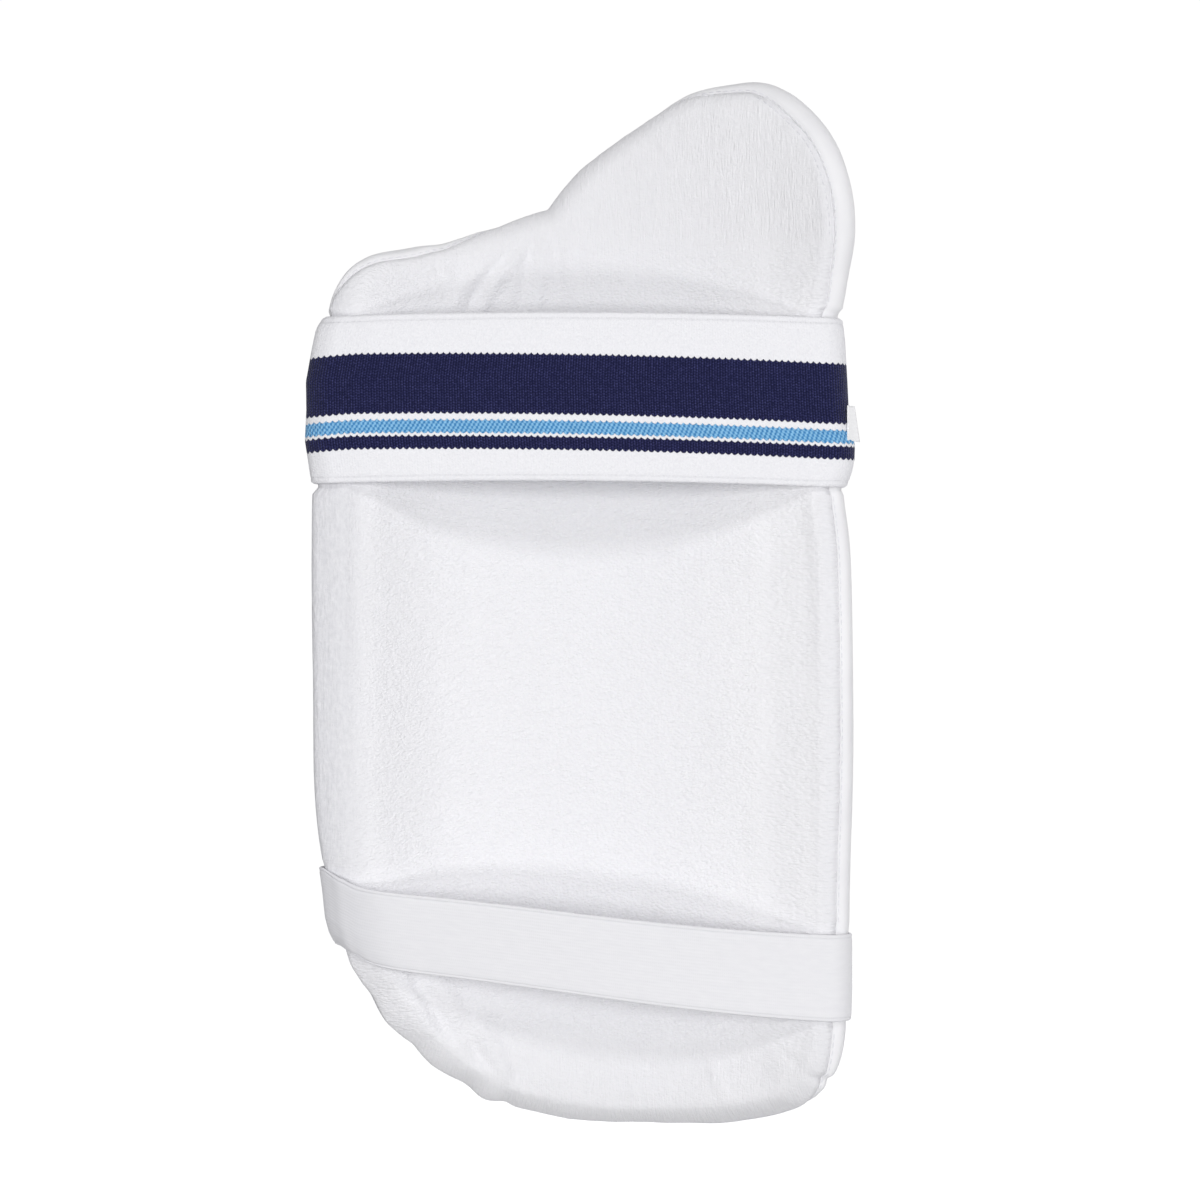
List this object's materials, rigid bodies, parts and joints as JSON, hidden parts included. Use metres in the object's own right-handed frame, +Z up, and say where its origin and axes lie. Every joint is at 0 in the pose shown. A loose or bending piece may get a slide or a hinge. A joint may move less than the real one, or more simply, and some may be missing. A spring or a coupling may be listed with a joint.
{
  "type": "cricket thigh pad",
  "caption": "Curved padded thigh guard with a raised hip lobe, towelled inside, held by a wide striped waist elastic and a narrow thigh elastic with hook tabs.",
  "frame": {"origin": "middle of the opening between the two straps and the towelled face, where the thigh goes", "axes": "+Z up as worn, hip lobe uppermost; +Y out through the outer cover, away from the thigh; +X towards the hip lobe and the sewn ends of the straps"},
  "size_m": [0.2286, 0.0708, 0.436],
  "materials": {
    "cover_cloth": "satin",
    "towelling": "matte",
    "thread": "satin",
    "comfort_foam": "matte",
    "impact_foam": "matte",
    "waist_elastic": "matte",
    "thigh_elastic": "satin",
    "hook_tape": "matte",
    "loop_tape": "matte",
    "label_tape": "satin"
  },
  "bodies": {
    "pad": {"outer_cover": "cover_cloth", "towel_lining": "towelling", "edge_seam_stitching": "thread", "comfort_foam": "comfort_foam", "impact_foam_upper_left": "impact_foam", "impact_foam_upper_centre": "impact_foam", "impact_foam_upper_right": "impact_foam", "impact_foam_middle_left": "impact_foam", "impact_foam_middle_centre": "impact_foam", "impact_foam_middle_right": "impact_foam", "impact_foam_lower_left": "impact_foam", "impact_foam_lower_centre": "impact_foam", "impact_foam_lower_right": "impact_foam", "impact_foam_hip": "impact_foam", "channel_stitching": "thread", "waist_strap_anchor": "waist_elastic", "waist_anchor_stitching": "thread", "waist_loop_patch": "loop_tape", "thigh_strap_anchor": "thigh_elastic", "thigh_anchor_stitching": "thread", "thigh_loop_patch": "loop_tape", "size_label": "label_tape"},
    "waist_span": {"waist_strap_span": "waist_elastic"},
    "waist_tab": {"waist_strap_wrap": "waist_elastic", "waist_strap_tab": "waist_elastic", "waist_hook_patch": "hook_tape", "waist_tab_binding": "waist_elastic", "waist_hook_stitching": "thread"},
    "thigh_span": {"thigh_strap_span": "thigh_elastic"},
    "thigh_tab": {"thigh_strap_wrap": "thigh_elastic", "thigh_strap_tab": "thigh_elastic", "thigh_hook_patch": "hook_tape", "thigh_tab_binding": "thigh_elastic", "thigh_hook_stitching": "thread"}
  },
  "joints": [
    {"name": "waist_strap_swing", "type": "hinge", "parent": "pad", "child": "waist_span", "pos_m": [0.0995, -0.0144, 0.083], "axis": [0, 0, 1], "range_deg": [0, 28]},
    {"name": "waist_tab_peel", "type": "hinge", "parent": "waist_span", "child": "waist_tab", "pos_m": [-0.1138, -0.0055, 0.083], "axis": [0, 0, 1], "range_deg": [0, 140], "deforming": ["waist_strap_wrap"]},
    {"name": "thigh_strap_swing", "type": "hinge", "parent": "pad", "child": "thigh_span", "pos_m": [0.1003, -0.018, -0.1527], "axis": [0, 0, 1], "range_deg": [0, 28]},
    {"name": "thigh_tab_peel", "type": "hinge", "parent": "thigh_span", "child": "thigh_tab", "pos_m": [-0.1099, -0.002, -0.124], "axis": [0, 0, 1], "range_deg": [0, 140], "deforming": ["thigh_strap_wrap"]}
  ],
  "couplings": [
    {"joint": "waist_strap_swing", "follows": "waist_tab_peel", "ratio": 0.2},
    {"joint": "thigh_strap_swing", "follows": "thigh_tab_peel", "ratio": 0.2}
  ]
}
